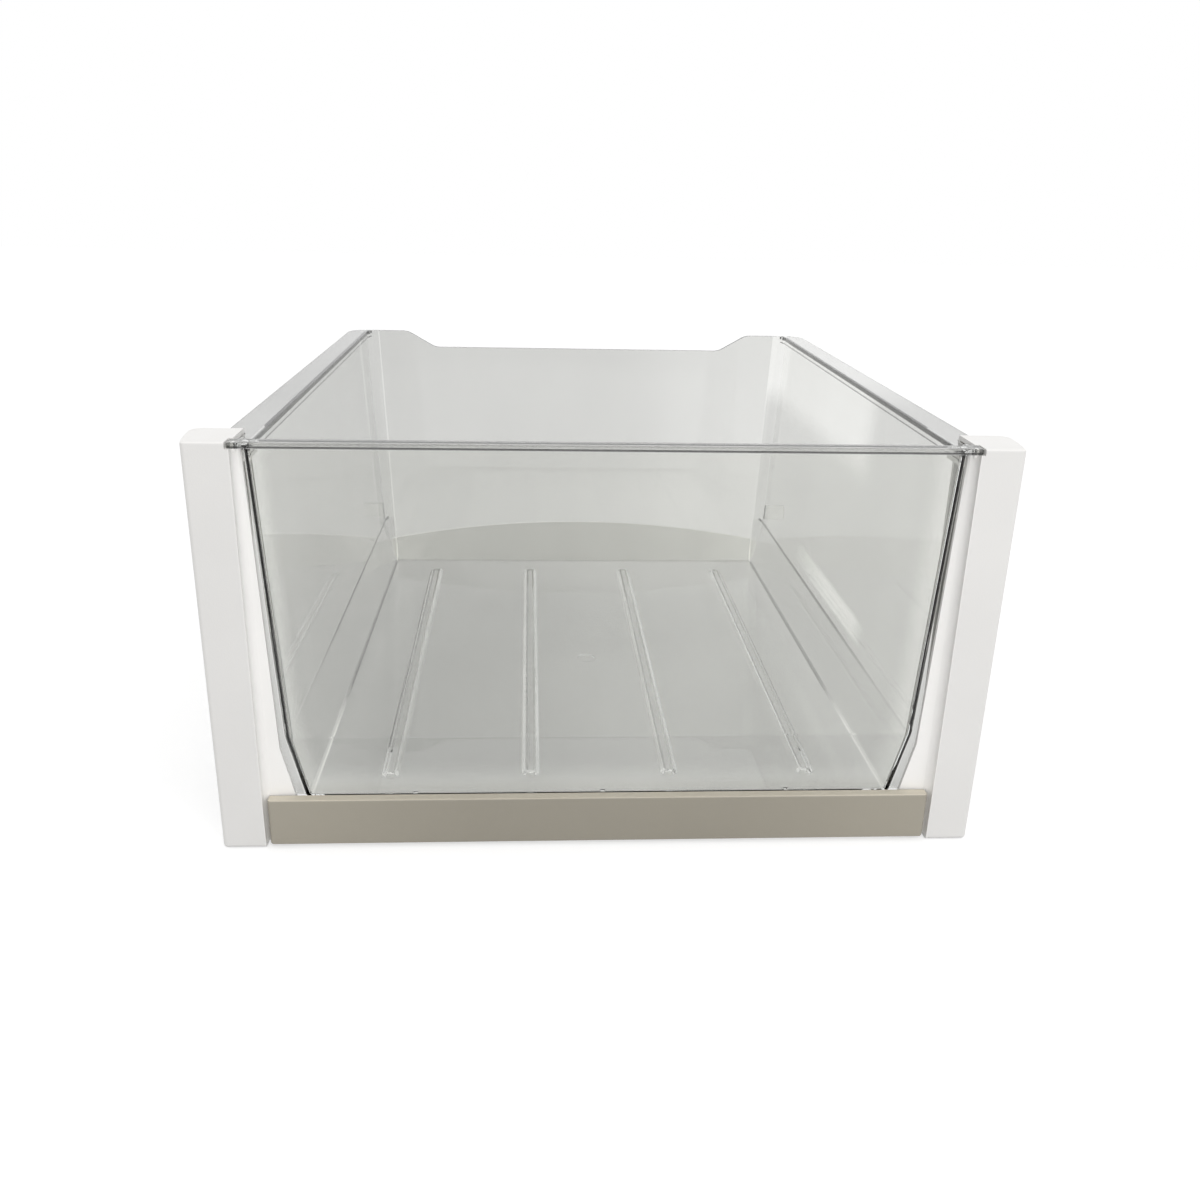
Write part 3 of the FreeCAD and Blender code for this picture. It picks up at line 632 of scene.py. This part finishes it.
def studio_floor():
    """Pale floor that keeps the object's shadow."""
    material, tree, output = new_material("studio_floor")
    diffuse = tree.nodes.new("ShaderNodeBsdfDiffuse")
    diffuse.inputs["Color"].default_value = (FLOOR_COLOUR, FLOOR_COLOUR, FLOOR_COLOUR, 1)
    glow = tree.nodes.new("ShaderNodeEmission")
    tree.links.new(math_node(tree, "MULTIPLY", seen_ray(tree), FLOOR_GLOW), glow.inputs["Strength"])
    lit = tree.nodes.new("ShaderNodeAddShader")
    tree.links.new(diffuse.outputs[0], lit.inputs[0])
    tree.links.new(glow.outputs[0], lit.inputs[1])
    tree.links.new(lit.outputs[0], output.inputs["Surface"])
    bpy.ops.mesh.primitive_plane_add(size=FLOOR_SIZE, location=(0, 0, FLOOR_LEVEL_Z))
    floor = bpy.context.object
    floor.name = "floor"
    floor.data.materials.append(material)


def studio_world():
    """World that lights the object softly and is seen white."""
    world = bpy.data.worlds.new("studio_world")
    world.use_nodes = True
    tree = world.node_tree
    background = tree.nodes["Background"]
    background.inputs["Color"].default_value = (1, 1, 1, 1)
    strength = math_node(tree, "MULTIPLY_ADD", seen_ray(tree), 1 - WORLD_LIGHT, WORLD_LIGHT)
    tree.links.new(strength, background.inputs["Strength"])
    bpy.context.scene.world = world


def key_lamp():
    """Rectangular lamp at the right front, aimed at the drawer."""
    data = bpy.data.lights.new("key", "AREA")
    data.shape = "RECTANGLE"
    data.size = LAMP_WIDTH
    data.size_y = LAMP_HEIGHT
    data.energy = LAMP_WATTS
    lamp = bpy.data.objects.new("key", data)
    lamp.location = LAMP_PLACE
    aim = Vector(LAMP_TARGET) - Vector(LAMP_PLACE)
    lamp.rotation_euler = aim.to_track_quat("-Z", "Y").to_euler()
    bpy.context.scene.collection.objects.link(lamp)


def add_camera():
    """Camera at the photograph's viewpoint."""
    data = bpy.data.cameras.new("camera")
    data.sensor_width = SENSOR
    data.lens = SENSOR * FOCAL_PIXELS / IMAGE_SIZE
    data.shift_x = -(CENTRE_X_PIXELS - IMAGE_SIZE / 2) / IMAGE_SIZE
    data.shift_y = (CENTRE_Y_PIXELS - IMAGE_SIZE / 2) / IMAGE_SIZE
    data.clip_start = CLIP_NEAR
    data.clip_end = CLIP_FAR
    camera = bpy.data.objects.new("camera", data)
    forward = Vector((
        math.sin(YAW_RIGHT) * math.cos(PITCH_DOWN),
        math.cos(YAW_RIGHT) * math.cos(PITCH_DOWN),
        -math.sin(PITCH_DOWN),
    ))
    level_right = Vector((math.cos(YAW_RIGHT), -math.sin(YAW_RIGHT), 0.0))
    level_down = forward.cross(level_right)
    right = math.cos(ROLL) * level_right + math.sin(ROLL) * level_down
    down = -math.sin(ROLL) * level_right + math.cos(ROLL) * level_down
    turn = Matrix((right, -down, -forward)).transposed()
    camera.rotation_mode = "QUATERNION"
    camera.rotation_quaternion = turn.to_quaternion()
    camera.location = (CAMERA_X, FRONT_Y - CAMERA_FROM_FRONT, CAMERA_Z)
    bpy.context.scene.collection.objects.link(camera)
    bpy.context.scene.camera = camera


assign("clear_tub", clear_plastic())
white = white_plastic()
for post_name in ("left_post", "right_post"):
    assign(post_name, white)
assign("pull_strip", warm_grey_plastic())
studio_floor()
studio_world()
key_lamp()
add_camera()
bpy.context.scene.view_settings.view_transform = "Standard"
